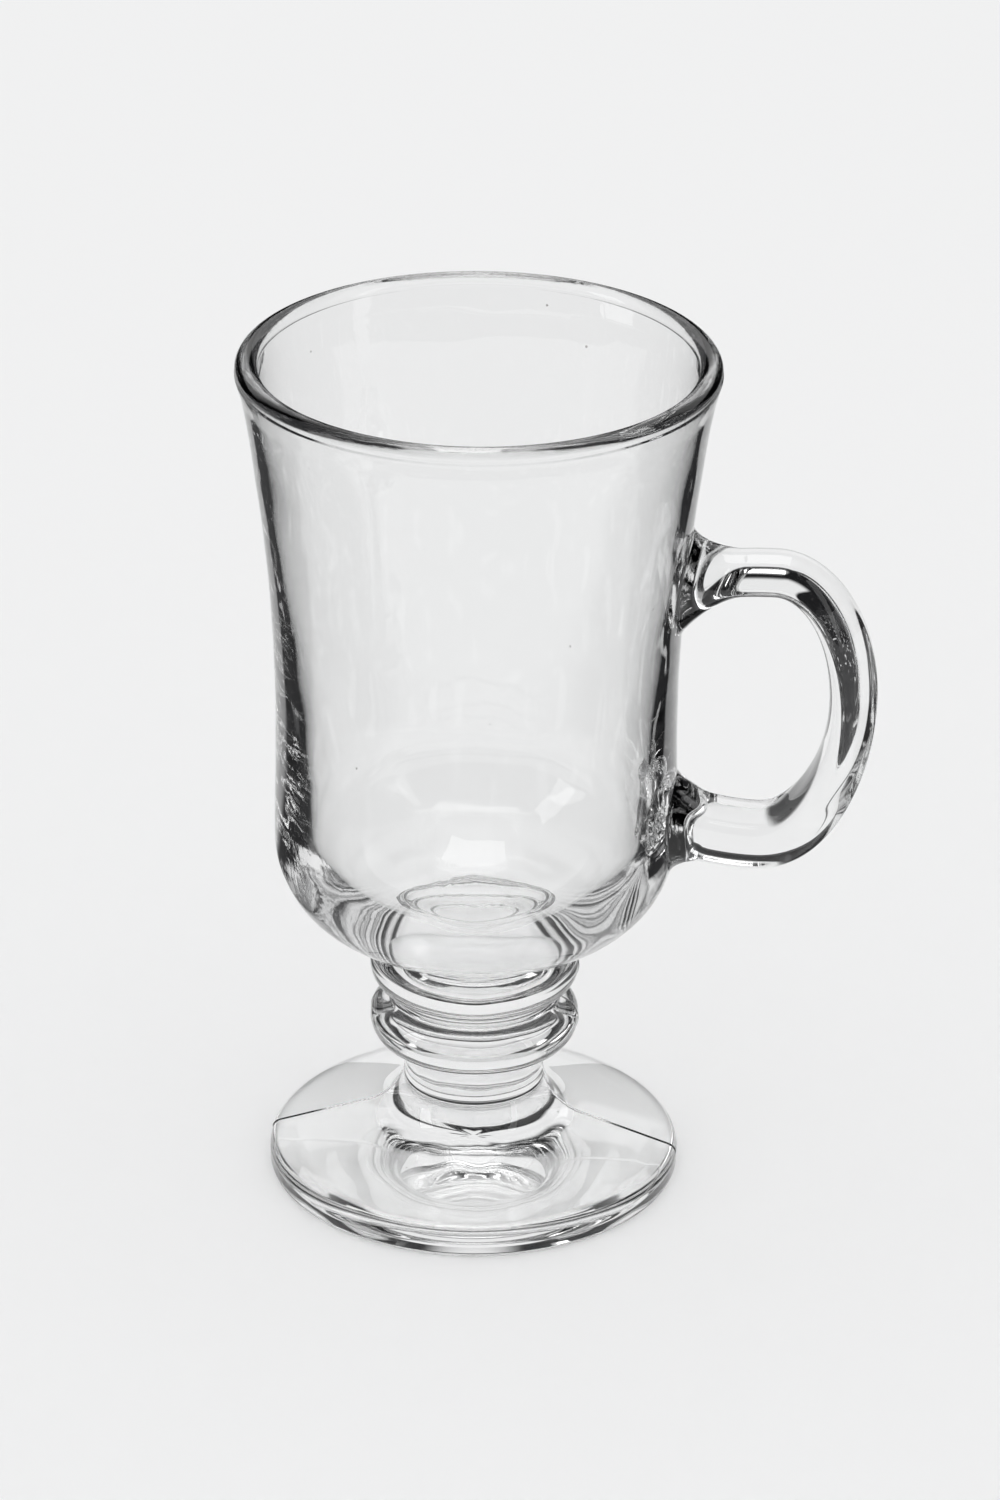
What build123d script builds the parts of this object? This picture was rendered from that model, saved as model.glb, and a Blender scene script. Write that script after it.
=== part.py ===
from build123d import *

import os
from math import acos, atan2, cos, degrees, hypot, radians, sin, sqrt, tan

# Irish coffee mug of clear pressed glass: a tall bowl with a flared lip, two rings below it,
# a round foot that sweeps up into a neck, and one loop handle.
# Millimetres, +Z up. The mug's axis is Z, the origin is the centre of the standing ring,
# and the handle points along +X. Every piece is welded to the next over one shared face.

# Foot
foot_radius = 35.5
foot_edge_height = 3.9  # where the sloping top would meet the upright edge
foot_slope = 18.5  # degrees below the horizontal
foot_shoulder_round = 2.2
foot_base_round = 0.8
standing_ring_width = 5.5
hollow_depth = 1.5  # of the shallow dome under the foot
neck_radius = 11.9
neck_sweep_round = 10.0  # the curve from the sloping top up into the neck

# Rings of the stem
knop_radius = 18.0
knop_round = 4.3
knop_cove_round = 1.6  # where the neck runs into the knop
knop_neck_length = 3.2  # straight neck above the sweep
collar_radius = 18.0
collar_round = 3.8
groove_radius = 14.2  # the narrow places above and below the collar
groove_round = 1.25

# Bowl, with its heights taken from the weld to the collar
bowl_height = 106.9
underside_slope = 20.0  # degrees above the horizontal
belly_radius = 34.2
shoulder_round = 17.2
waist_radius = 33.9
waist_height = 43.0
mouth_radius = 40.2
lip_round = 2.0
floor_height = 1.0
floor_rise = 24.0  # over which the round floor curves up into the wall
floor_wall = 5.0  # thickness of the wall where the round floor ends
inside_bend = 1400.0  # the slow curve of the inside from there out to the lip

# Handle, with its heights taken from the weld to the collar and its centre line in the XZ plane
grip_reach = 63.4
grip_height = 49.0
grip_thickness = 8.0
grip_width = 11.5
upper_bend_reach = 50.0
upper_arm_height = 71.5
upper_arm_thickness = 7.3
upper_arm_width = 10.5
upper_arm_drop = 1.8  # from the bend to the wall
lower_bend_reach = 47.5
lower_arm_height = 22.0
lower_arm_thickness = 9.6
lower_arm_width = 12.0
lower_arm_rise = 2.2  # from the bend to the wall
upper_root_length = 9.0  # over which the arm spreads onto the wall
upper_root_spread_above = 5.0
upper_root_spread_below = 7.0
lower_root_length = 5.0
lower_root_spread_above = 4.0
lower_root_spread_below = 4.0
root_spread_sideways = 3.0
root_bury = 3.0  # how far the arms run on below the wall's face before they are trimmed to it


def at(radius, height):
    """A point of a turned outline, which is drawn in the XZ plane."""
    return (radius, 0, height)


def on_circle(centre, radius, angle):
    """The point of a circle in the XZ plane at an angle in degrees from +X towards +Z."""
    return at(centre[0] + radius * cos(radians(angle)), centre[1] + radius * sin(radians(angle)))


def arc(centre, radius, start, end):
    """An arc of a circle in the XZ plane between two angles in degrees."""
    return ThreePointArc(*(on_circle(centre, radius, a) for a in (start, (start + end) / 2, end)))


def bearing(start, end):
    """The direction from one outline point to another, in degrees from +X towards +Z."""
    return degrees(atan2(end[1] - start[1], end[0] - start[0]))


def chain(*links):
    """Joins arcs in order with straight lines wherever one ends away from where the next begins."""
    edges = []
    for link, following in zip(links, links[1:] + links[:1]):
        edges.append(link)
        if (link @ 1 - following @ 0).length > 1e-6:
            edges.append(Line(link @ 1, following @ 0))
    return edges


def turned(edges):
    """A solid turned about the mug's axis from a closed outline."""
    return revolve(make_face(edges), Axis.Z)


# Heights of the welds and ring centres, worked upwards from the foot
neck_centre = neck_radius + neck_sweep_round
neck_height = (
    foot_edge_height
    + (foot_radius - neck_centre) * tan(radians(foot_slope))
    + neck_sweep_round / cos(radians(foot_slope))
)
knop_centre = knop_radius - knop_round
cove_centre = neck_radius + knop_cove_round
cove_height = neck_height + knop_neck_length
knop_height = cove_height + sqrt((knop_round + knop_cove_round) ** 2 - (cove_centre - knop_centre) ** 2)
groove_centre = groove_radius + groove_round
groove_height = knop_height + sqrt((knop_round + groove_round) ** 2 - (groove_centre - knop_centre) ** 2)
collar_centre = collar_radius - collar_round
collar_rise = sqrt((collar_round + groove_round) ** 2 - (groove_centre - collar_centre) ** 2)
collar_height = groove_height + collar_rise
bowl_base = collar_height + collar_rise
rim_height = bowl_base + bowl_height


def foot():
    """The disc with its rounded edge, sloping top, neck sweep and shallow hollow underneath."""
    ring_inside = foot_radius - foot_base_round - standing_ring_width
    dome_radius = (ring_inside**2 + hollow_depth**2) / (2 * hollow_depth)
    dome_middle = at(ring_inside / 2, hollow_depth - dome_radius + sqrt(dome_radius**2 - (ring_inside / 2) ** 2))
    dome = ThreePointArc(at(0, hollow_depth), dome_middle, at(ring_inside, 0))
    base = arc((foot_radius - foot_base_round, foot_base_round), foot_base_round, -90, 0)
    edge_centre = foot_radius - foot_shoulder_round
    edge_centre_height = (
        foot_edge_height
        + foot_shoulder_round * tan(radians(foot_slope))
        - foot_shoulder_round / cos(radians(foot_slope))
    )
    shoulder = arc((edge_centre, edge_centre_height), foot_shoulder_round, 0, 90 - foot_slope)
    sweep_curve = arc((neck_centre, neck_height), neck_sweep_round, 270 - foot_slope, 180)
    axis = Line(at(0, neck_height), at(0, hollow_depth))
    return turned(chain(dome, base, shoulder, sweep_curve, axis))


def knop():
    """The lower ring, from the neck of the foot up to the groove under the collar."""
    cove_bearing = bearing((cove_centre, cove_height), (knop_centre, knop_height))
    groove_bearing = bearing((groove_centre, groove_height), (knop_centre, knop_height))
    cove = arc((cove_centre, cove_height), knop_cove_round, 180, cove_bearing)
    bead = arc((knop_centre, knop_height), knop_round, cove_bearing - 180, groove_bearing + 180)
    groove = arc((groove_centre, groove_height), groove_round, groove_bearing + 360, 180)
    axis = Line(at(0, groove_height), at(0, neck_height))
    neck = Line(at(neck_radius, neck_height), at(neck_radius, cove_height))
    return turned(chain(neck, cove, bead, groove, axis))


def collar():
    """The upper ring, between the groove above the knop and the one under the bowl."""
    rise = bearing((groove_centre, groove_height), (collar_centre, collar_height))
    fall = bearing((groove_centre, bowl_base), (collar_centre, collar_height))
    lower_groove = arc((groove_centre, groove_height), groove_round, 180, rise)
    bead = arc((collar_centre, collar_height), collar_round, rise - 180, fall + 180)
    upper_groove = arc((groove_centre, bowl_base), groove_round, fall + 360, 180)
    axis = Line(at(0, bowl_base), at(0, groove_height))
    return turned(chain(lower_groove, bead, upper_groove, axis))


# Circles that the bowl's outline runs along
lip_centre = (mouth_radius - lip_round, rim_height - lip_round)
waist = bowl_base + waist_height
flare_offset = waist_radius - lip_centre[0]
flare_rise = lip_centre[1] - waist
flare_round = (flare_offset**2 + flare_rise**2 - lip_round**2) / (2 * (lip_round - flare_offset))
flare_centre = (waist_radius + flare_round, waist)
floor = bowl_base + floor_height
inside_start = (belly_radius - floor_wall, floor + floor_rise)
lip_distance = hypot(lip_centre[0] - inside_start[0], lip_centre[1] - inside_start[1])
inside_corner = acos((lip_distance**2 + 2 * inside_bend * lip_round - lip_round**2) / (2 * lip_distance * inside_bend))
inside_draft = degrees(inside_corner) - bearing(inside_start, lip_centre)
inside_centre = (
    inside_start[0] + inside_bend * cos(radians(inside_draft)),
    inside_start[1] - inside_bend * sin(radians(inside_draft)),
)
underside_start = on_circle((groove_centre, bowl_base), groove_round, 90 + underside_slope)
shoulder_centre = (
    belly_radius - shoulder_round,
    underside_start[2]
    + (belly_radius - shoulder_round - underside_start[0]) * tan(radians(underside_slope))
    + shoulder_round / cos(radians(underside_slope)),
)


def bowl_outside():
    """The bowl's outer outline, from the weld to the collar up to the side of the lip."""
    upright = (0, 0, 1)
    lip_bearing = bearing(flare_centre, lip_centre)
    cove = arc((groove_centre, bowl_base), groove_round, 180, 90 + underside_slope)
    shoulder = arc(shoulder_centre, shoulder_round, underside_slope - 90, 0)
    barrel = Spline([shoulder @ 1, at(waist_radius, waist)], tangents=[upright, upright])
    flare = arc(flare_centre, flare_round, 180, lip_bearing)
    return cove, shoulder, barrel, flare


def bowl():
    """The drinking bowl: a shell with a round lip, an inside that leans out upwards and a round floor."""
    lip_bearing = bearing(inside_centre, lip_centre)
    lip = arc(lip_centre, lip_round, bearing(flare_centre, lip_centre) - 180, lip_bearing)
    inside = arc(inside_centre, inside_bend, lip_bearing, 180 - inside_draft)
    pull = 4 / 3 * (sqrt(2) - 1)  # makes the curve close to a quarter of an ellipse
    drop = pull * floor_rise
    round_floor = Bezier(
        at(inside_start[0], inside_start[1]),
        at(inside_start[0] - drop * tan(radians(inside_draft)), inside_start[1] - drop),
        at(pull * inside_start[0], floor),
        at(0, floor),
    )
    axis = Line(at(0, floor), at(0, bowl_base))
    return turned(chain(*bowl_outside(), lip, inside, round_floor, axis))


def bowl_block():
    """The space inside the bowl's outer face, which trims the handle's ends to the wall."""
    outside = bowl_outside()
    top = outside[-1] @ 1
    axis = Line(at(0, top.Z), at(0, bowl_base))
    return turned(chain(*outside, axis))


def wall_radius(height):
    """The radius of the bowl's outer face at a height on the barrel or the flare."""
    above_waist = height - waist
    if above_waist < 0:
        return belly_radius
    return flare_centre[0] - sqrt(flare_round**2 - above_waist**2)


def oval(x, z, heading, thickness, width):
    """A section of the handle, square to its run; the heading is in degrees from +X towards +Z."""
    run = (cos(radians(heading)), 0, sin(radians(heading)))
    return Plane(origin=(x, 0, z), x_dir=(0, 1, 0), z_dir=run) * Ellipse(width / 2, thickness / 2)


def arm(bend_reach, bend_height, root_height, thickness, width, length, above, below, outward):
    """Sections of one arm from the wall to its bend, spreading towards the wall."""
    wall = wall_radius(root_height)
    sections = []
    for share in (-root_bury / length, 0.0, 0.25, 0.5, 0.75, 1.0):
        x = wall + share * length
        left = (bend_reach - x) / (bend_reach - wall)
        clear = max(share, 0)
        spread = (1 - clear) ** 2
        z = bend_height + (root_height - bend_height) * left**2 + (above - below) * spread / 2
        slope = clear * bearing((0, 0), (bend_reach - wall, 2 * (bend_height - root_height) * left))
        heading = slope if outward else slope + 180
        root_thickness = thickness + (above + below) * spread
        root_width = width + 2 * root_spread_sideways * spread
        sections.append(oval(x, z, heading, root_thickness, root_width))
    return sections


def bend(centre, across, up, angles, arm_thickness, arm_width):
    """Sections round a quarter of an ellipse, whose thickness passes from the grip's to the arm's."""
    sections = []
    for angle in angles:
        a = radians(angle)
        heading = bearing((0, 0), (across * sin(a), -up * cos(a)))
        mix = sin(a) ** 2
        thickness = grip_thickness + (arm_thickness - grip_thickness) * mix
        width = grip_width + (arm_width - grip_width) * mix
        sections.append(oval(centre[0] + across * cos(a), centre[1] + up * sin(a), heading, thickness, width))
    return sections


def handle():
    """The loop: an upper arm, a grip bent on two quarter ellipses and a lower arm, trimmed to the wall."""
    upper_height = bowl_base + upper_arm_height
    lower_height = bowl_base + lower_arm_height
    middle = bowl_base + grip_height
    upper_arm = arm(
        upper_bend_reach,
        upper_height,
        upper_height - upper_arm_drop,
        upper_arm_thickness,
        upper_arm_width,
        upper_root_length,
        upper_root_spread_above,
        upper_root_spread_below,
        outward=True,
    )
    upper_bend = bend(
        (upper_bend_reach, middle),
        grip_reach - upper_bend_reach,
        upper_height - middle,
        (90, 65, 40, 15),
        upper_arm_thickness,
        upper_arm_width,
    )
    lower_bend = bend(
        (lower_bend_reach, middle),
        grip_reach - lower_bend_reach,
        middle - lower_height,
        (-15, -40, -65, -90),
        lower_arm_thickness,
        lower_arm_width,
    )
    lower_arm = arm(
        lower_bend_reach,
        lower_height,
        lower_height + lower_arm_rise,
        lower_arm_thickness,
        lower_arm_width,
        lower_root_length,
        lower_root_spread_above,
        lower_root_spread_below,
        outward=False,
    )
    loop = loft(upper_arm + upper_bend + lower_bend + lower_arm[::-1])
    return loop - bowl_block()


os.makedirs("parts", exist_ok=True)
pieces = {"foot": foot(), "knop": knop(), "collar": collar(), "bowl": bowl(), "handle": handle()}
for name, solid in pieces.items():
    export_step(solid, f"parts/{name}.step")
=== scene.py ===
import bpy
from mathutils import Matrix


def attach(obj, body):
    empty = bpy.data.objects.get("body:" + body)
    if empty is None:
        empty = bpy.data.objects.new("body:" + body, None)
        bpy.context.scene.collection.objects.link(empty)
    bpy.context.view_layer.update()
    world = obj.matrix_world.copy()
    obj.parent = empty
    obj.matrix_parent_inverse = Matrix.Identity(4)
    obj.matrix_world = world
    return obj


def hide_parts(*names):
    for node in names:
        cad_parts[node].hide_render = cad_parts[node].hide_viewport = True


bl_info = {
    "name": "Irish coffee mug",
    "version": (1, 0, 0),
    "blender": (4, 5, 0),
    "location": "View3D > Sidebar > Mug",
    "description": "Dresses the packed model of a pressed glass mug and sets it in a plain studio",
    "category": "Add Mesh",
}

from math import acos, asin, atan2, ceil, cos, degrees, hypot, pi, radians, sin, sqrt, tan
from types import SimpleNamespace

import bmesh
import bpy
import numpy as np
from mathutils import Matrix, Quaternion, Vector

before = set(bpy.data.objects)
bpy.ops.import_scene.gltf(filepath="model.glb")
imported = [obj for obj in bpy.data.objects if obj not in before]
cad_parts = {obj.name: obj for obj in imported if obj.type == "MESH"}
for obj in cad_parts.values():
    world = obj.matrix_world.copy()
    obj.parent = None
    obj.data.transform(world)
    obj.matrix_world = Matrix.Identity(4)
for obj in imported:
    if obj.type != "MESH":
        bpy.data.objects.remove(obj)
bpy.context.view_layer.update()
BODY = "root"

# Fineness of the meshes
STEP = 0.0011  # along an outline
WALL_STEP = STEP * 0.98  # between the rows of faces up the wall
SAME_POINT = 1e-7  # distance within which two points of an outline are one
FINEST_TURN = 5.0  # degrees of an arc for each face
QUARTER = 0.8  # rough length of a quarter ellipse, as a share of its two half axes
COLUMNS = 192  # faces round the axis
SEAM_COLUMNS = (0.003, 0.006, 0.0095, 0.0165)  # radians either side of a mould seam
PATCH = 24  # faces along each side of the square of wall that a handle root sits in
PATCH_RINGS = 6
ROOT_RINGS = 18
ROOT_CROWDING = 2.2  # power by which those rings crowd towards the wall
ROOT_CURVE = 0.7  # power of the curve by which a root spreads onto the wall
WELD_RINGS = (0.25, 0.5, 0.75)  # under a root, as shares of the way to its middle
BEAD_ROWS = 7  # of the wall under the lip that are divided more finely
BEAD_POINTS = 4 * BEAD_ROWS  # that take their place
WALL_START = 0.0094  # of the wall's rows, below the centre of the shoulder
FLOOR_GAP = 0.00006  # so that the glass and the paper aren't in one plane

# Unevenness of the faces, and the distances over which it comes and goes
WAVE_COUNT = 9
WAVE_SEEDS = {"wall": 3, "inside": 4, "foot": 5, "quick": 8, "knop": 21, "collar": 22}
QUICK_SIZE = 0.0065  # of the quicker waves low on the wall
QUICK_SHARE = 0.35  # of their depth in that of the slow ones
QUICK_RISE = (0.012, 0.020)  # above the bowl's weld
QUICK_FALL = (0.030, 0.046)
WALL_RISE = 0.008  # above the bowl's weld
WALL_FADE = 0.004  # below the centre of the lip
INSIDE_FADE = (0.008, 0.002)  # below the centre of the lip
BEAD_SOFT_OUTSIDE = 0.0018  # half the height of the step under the thicker rim
BEAD_SOFT_INSIDE = 0.0005
BEAD_FADE = (0.004, 0.020)  # below that step
FOOT_WAVES = 0.7  # share of the foot's radius at which its waves are counted
FOOT_RISE = 0.0004  # above the standing ring
FOOT_FADE = 0.004  # below the neck's weld
SEAM_RISE = 0.001  # above the foot's edge
SEAM_FADE = 0.002  # below the neck's weld
SEAM_LOSS = 0.6  # share of its height that the seam loses there
RING_WAVES = 0.008  # distance between the waves of the stem's rings
RING_FADE = 0.002  # at their welds
RING_SEAM = (0.25, 0.15)  # share of the seam's height at those welds, and what it gains between them

# Wrinkles and marks of the glass, as ranges of a noise or of a distance
CHILL = {"foot": 0.25, "stem": 0.4, "bowl": 1.0, "handle": 0.5}  # strength of the wrinkles
BOWL_INSIDE = 0.0322  # radius beyond which the bowl is wrinkled
DRAWN_IN = 0.062  # height below which that radius shrinks
OUTSIDE_SOFT = (0.0, 0.001)
CHILL_PATCHES = (0.42, 0.62)
LOW_BAND = (0.014, 0.024, 1.0, 0.0)
HIGH_BAND = (0.003, 0.009, 1.0, 0.0)
PLAIN_SHARE = 0.03  # of the wrinkles outside the two bands
SMEARS = (0.58, 0.75)
HAIRS = (0.78, 0.82)
SPECK_CHANCE = 0.80

# Stage
FLOOR_HALF = 4.0
FLOOR_FACES = 24
SENSOR = 36.0
BOUNCES = 40
GLOSSY_BOUNCES = 24
PANEL_AIM = Vector((0, 0, 0.08))
SOFTBOXES = (  # name, place, size and strength
    ("softbox_left", (-0.85, -0.34, 0.55), (0.3, 0.6), 2.0),
    ("softbox_right", (0.85, -0.34, 0.45), (0.16, 0.9), 1.2),
    ("softbox_top", (0.0, 0.08, 1.1), (0.60, 0.45), 2.6),
)

# Pale parts of the room that the glass sees, as ranges of a direction's parts
SWEEP_BACK = (0.45, 0.62)
SWEEP_TOP = (0.75, 0.9, 1.0, 0.0)
SWEEP_FOOT = (0.28, 0.36)
CEILING = (0.90, 0.995, 0.0, 0.85)
PAPER_LIGHT = 1.0  # of the world on the paper
GLASS_LIGHT = 2.1  # of the world on the paper through the glass, which holds some back

# Painted dark areas of the floor: painted shade that stands in for a dark room in the glass's reflections
# and refractions, seen only by rays that the glass has turned: start, end and darkness there
PAINTED_CARD_LEAN = 0.224  # of the left card's edge
PAINTED_LEFT_CARD = (-0.138, -0.127, 0.88, 0.0)
PAINTED_RIGHT_CARD = (0.136, 0.145, 0.0, 0.98)
PAINTED_CARD_START = (0.05, 0.08)
PAINTED_CARD_END = (0.24, 0.27, 1.0, 0.0)
FAR_EDGE = (0.80, 0.90, 0.0, 0.95)
FLANK = (0.055, 0.065, 0.0, 0.9)
FLANK_START = (0.0, 0.02)
FLANK_END = (0.09, 0.11, 1.0, 0.0)
SIDE = (0.029, 0.035, 0.0, 0.97)
# Painted dark slats with pale gaps, and painted dark flecks, for rays mirrored within the glass
PAINTED_SLAT_GAPS = (0.36, 0.60)  # of a noise
PAINTED_SLAT_END = (0.06, 0.07, 0.75, 0.0)
PAINTED_FLECKS = (0.60, 0.68, 0.99, 0.3)  # of a noise
PAINTED_FLECK_START = (0.10, 0.14)
BEHIND = (-0.10, 0.0)
DEEP = 3.5  # faces of glass, fewer than a ray straight through the bowl has passed


def length(name, default, description):
    """A size in metres that a user may change."""
    return bpy.props.FloatProperty(
        name=name, description=description, default=default, min=0.0, precision=5, unit="LENGTH"
    )


def turn(name, default, description):
    """An angle, given here in degrees, that a user may change."""
    return bpy.props.FloatProperty(
        name=name, description=description, default=radians(default), subtype="ANGLE"
    )


def amount(name, default, description):
    """A plain number that a user may change."""
    return bpy.props.FloatProperty(name=name, description=description, default=default, precision=4)


def colour(name, default, description):
    """A colour in linear values that a user may change."""
    return bpy.props.FloatVectorProperty(
        name=name, description=description, default=default, size=3, min=0.0, max=1.0, subtype="COLOR"
    )


def within(kind, name, description):
    """A group of settings within the mug's."""
    return bpy.props.PointerProperty(type=kind, name=name, description=description)


class MugFoot(bpy.types.PropertyGroup):
    radius: length("Radius", 0.0355, "Of the round foot")
    edge_height: length("Edge height", 0.0039, "Where the sloping top would meet the upright edge")
    slope: turn("Slope", 18.5, "Of the top, below the horizontal")
    shoulder_round: length("Shoulder round", 0.0022, "Between the top and the edge")
    base_round: length("Base round", 0.0008, "Between the edge and the standing ring")
    ring_width: length("Standing ring", 0.0055, "Width of the flat ring that the mug stands on")
    hollow_depth: length("Hollow", 0.0015, "Depth of the shallow dome underneath")
    neck_radius: length("Neck radius", 0.0119, "Of the narrowest place of the stem")
    sweep_round: length("Sweep", 0.010, "Curve from the top up into the neck")
    seam_height: length("Seam height", 0.00018, "How far the mould seam stands proud")
    seam_width: length("Seam width", 0.00016, "Half the width of the mould seam")


class MugStem(bpy.types.PropertyGroup):
    knop_radius: length("Knop radius", 0.0180, "Of the lower ring")
    knop_round: length("Knop round", 0.0043, "Of the lower ring's bead")
    cove_round: length("Cove", 0.0016, "Where the neck runs into the knop")
    neck_length: length("Neck length", 0.0032, "Straight neck above the sweep of the foot")
    collar_radius: length("Collar radius", 0.0180, "Of the upper ring")
    collar_round: length("Collar round", 0.0038, "Of the upper ring's bead")
    groove_radius: length("Groove radius", 0.0142, "Of the narrow places above and below the collar")
    groove_round: length("Groove round", 0.00125, "Of the bottom of each groove")


class MugBowl(bpy.types.PropertyGroup):
    height: length("Height", 0.1069, "From the weld to the collar up to the lip")
    underside_slope: turn("Underside slope", 20.0, "Above the horizontal")
    belly_radius: length("Belly radius", 0.0342, "Of the widest place above the shoulder")
    shoulder_round: length("Shoulder round", 0.0172, "From the underside up into the wall")
    waist_radius: length("Waist radius", 0.0339, "Of the narrowest place of the wall")
    waist_height: length("Waist height", 0.0430, "Of the narrowest place above the weld")
    mouth_radius: length("Mouth radius", 0.0402, "Outside the lip")
    lip_round: length("Lip round", 0.0020, "Of the fire-polished lip")
    floor_height: length("Floor height", 0.0010, "Of the lowest place inside, above the weld")
    floor_rise: length("Floor rise", 0.0240, "Over which the round floor curves up into the wall")
    floor_wall: length("Wall", 0.0050, "Thickness of the wall where the round floor ends")
    inside_bend: length("Inside bend", 1.4000, "Slow curve of the inside from there out to the lip")
    bead_outside: length("Bead outside", 0.0044, "Height of the slightly thicker rim on the outside")
    bead_inside: length("Bead inside", 0.0017, "Height of the slightly thicker rim on the inside")
    bead_depth: length("Bead depth", 0.00024, "By which the wall is set back under that rim")


class MugHandle(bpy.types.PropertyGroup):
    grip_reach: length("Grip reach", 0.0634, "From the axis to the middle of the grip")
    grip_height: length("Grip height", 0.0490, "Of the grip's furthest place above the weld")
    grip_thickness: length("Grip thickness", 0.0080, "Across the grip, in the plane of the loop")
    grip_width: length("Grip width", 0.0115, "Across the grip, square to the loop")
    upper_reach: length("Upper bend reach", 0.0500, "Where the upper arm turns into the grip")
    upper_height: length("Upper arm height", 0.0715, "Above the weld")
    upper_thickness: length("Upper arm thickness", 0.0073, "In the plane of the loop")
    upper_width: length("Upper arm width", 0.0105, "Square to the loop")
    upper_drop: length("Upper arm drop", 0.0018, "From the bend to the wall")
    upper_root: length("Upper root length", 0.0090, "Over which the arm spreads onto the wall")
    upper_above: length("Upper root above", 0.0050, "Spread of the upper root upwards")
    upper_below: length("Upper root below", 0.0070, "Spread of the upper root downwards")
    lower_reach: length("Lower bend reach", 0.0475, "Where the grip turns into the lower arm")
    lower_height: length("Lower arm height", 0.0220, "Above the weld")
    lower_thickness: length("Lower arm thickness", 0.0096, "In the plane of the loop")
    lower_width: length("Lower arm width", 0.0120, "Square to the loop")
    lower_rise: length("Lower arm rise", 0.0022, "From the bend to the wall")
    lower_root: length("Lower root length", 0.0050, "Over which the arm spreads onto the wall")
    lower_above: length("Lower root above", 0.0040, "Spread of the lower root upwards")
    lower_below: length("Lower root below", 0.0040, "Spread of the lower root downwards")
    root_sideways: length("Root sideways", 0.0030, "Spread of both roots to each side")
    upper_swell: amount("Upper swell", -0.45, "Share by which the upper arm is wider outside the loop")
    grip_swell: amount("Grip swell", -0.65, "Share by which the grip is wider outside the loop")
    lower_swell: amount("Lower swell", -0.15, "Share by which the lower arm is wider outside the loop")
    upper_fullness: amount("Upper fullness", 2.2, "Power of the oval of the upper arm, 2 for an ellipse")
    grip_fullness: amount("Grip fullness", 2.2, "Power of the oval of the grip, 2 for an ellipse")
    lower_fullness: amount("Lower fullness", 4.0, "Power of the oval of the lower arm, 2 for an ellipse")


class MugGlass(bpy.types.PropertyGroup):
    tint: colour("Tint", (0.994, 0.996, 0.995), "Colour of the clear glass at each face")
    bending: amount("Bending", 1.52, "Refractive index of the glass")
    wave_depth: length("Wave depth", 0.00002, "Slow unevenness of the pressed faces")
    wave_size: length("Wave size", 0.014, "Distance between those waves")
    chill_depth: length("Chill depth", 0.00004, "Depth of the wrinkles where hot glass met the mould")
    polish: amount("Polish", 0.004, "Roughness of the clean glass")
    smudge: amount("Smudge", 0.03, "Roughness added where the glass has been handled")
    speck: colour("Speck", (0.25, 0.24, 0.23), "Colour of seeds and dust in the surface")


class MugStage(bpy.types.PropertyGroup):
    paper: colour("Paper", (0.875, 0.877, 0.88), "Floor and backdrop")
    # The room colour is also the painted dark of the floor that only the glass shows
    room: colour("Room", (0.012, 0.012, 0.013), "Unlit room that the glass reflects")
    azimuth: turn("Azimuth", 6.2, "Of the camera, round from in front of the mug")
    elevation: turn("Elevation", 25.924, "Of the camera above the horizon")
    distance: length("Distance", 0.99182, "From the camera to the point it looks at")
    aim_height: length("Aim height", 0.078423, "Of the point that the camera looks at")
    aim_right: length("Aim right", 0.00401, "Of the point that the camera looks at, past the axis")
    roll: turn("Roll", 0.509, "Of the camera about its line of sight")
    lens: amount("Lens", 140.73, "Focal length in millimetres on a 36 millimetre frame")


class MugSettings(bpy.types.PropertyGroup):
    foot: within(MugFoot, "Foot", "Sizes of the foot")
    stem: within(MugStem, "Stem", "Sizes of the two rings")
    bowl: within(MugBowl, "Bowl", "Sizes of the bowl")
    handle: within(MugHandle, "Handle", "Sizes of the handle")
    glass: within(MugGlass, "Glass", "Look of the glass")
    stage: within(MugStage, "Stage", "Floor, light and camera")


def settings():
    """The mug's settings in the open scene."""
    return bpy.context.scene.irish_mug


# Outlines, as rows of radius and height

def on_circle(centre, radius, angle):
    """The point of a circle at an angle in degrees, from outward towards upward."""
    return centre[0] + radius * cos(radians(angle)), centre[1] + radius * sin(radians(angle))


def bearing(start, end):
    """The direction from one outline point to another, in degrees from outward towards upward."""
    return degrees(atan2(end[1] - start[1], end[0] - start[0]))


def arc(centre, radius, start, end):
    """Outline points along an arc between two angles in degrees."""
    sweep = abs(end - start)
    count = max(2, ceil(radians(sweep) * radius / STEP), ceil(sweep / FINEST_TURN))
    angles = np.radians(np.linspace(start, end, count + 1))
    return np.column_stack([centre[0] + radius * np.cos(angles), centre[1] + radius * np.sin(angles)])


def straight(start, end):
    """Outline points along a straight run."""
    count = max(1, ceil(hypot(end[0] - start[0], end[1] - start[1]) / STEP))
    return np.linspace(start, end, count + 1)


def round_floor(side, draft, bottom):
    """Outline points from the foot of a leaning wall round to the middle of a flat bottom."""
    pull = 4 / 3 * (sqrt(2) - 1)
    drop = pull * (side[1] - bottom)
    leaning = (side[0] - drop * tan(radians(draft)), side[1] - drop)
    corners = np.array([side, leaning, (pull * side[0], bottom), (0, bottom)])
    along = np.linspace(0, 1, ceil((side[0] + side[1] - bottom) * QUARTER / STEP) + 1)[:, None]
    weights = ((1 - along) ** 3, 3 * (1 - along) ** 2 * along, 3 * (1 - along) * along**2, along**3)
    return sum(weight * corner for weight, corner in zip(weights, corners))


def outline(*runs):
    """Runs joined end to end, with straight runs across the gaps and no point twice."""
    joined = [runs[0]]
    for run in runs[1:]:
        joined.append(straight(joined[-1][-1], run[0]))
        joined.append(run)
    points = np.concatenate(joined)
    apart = np.linalg.norm(np.diff(points, axis=0), axis=1) > SAME_POINT
    return points[np.concatenate([[True], apart])]


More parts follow.
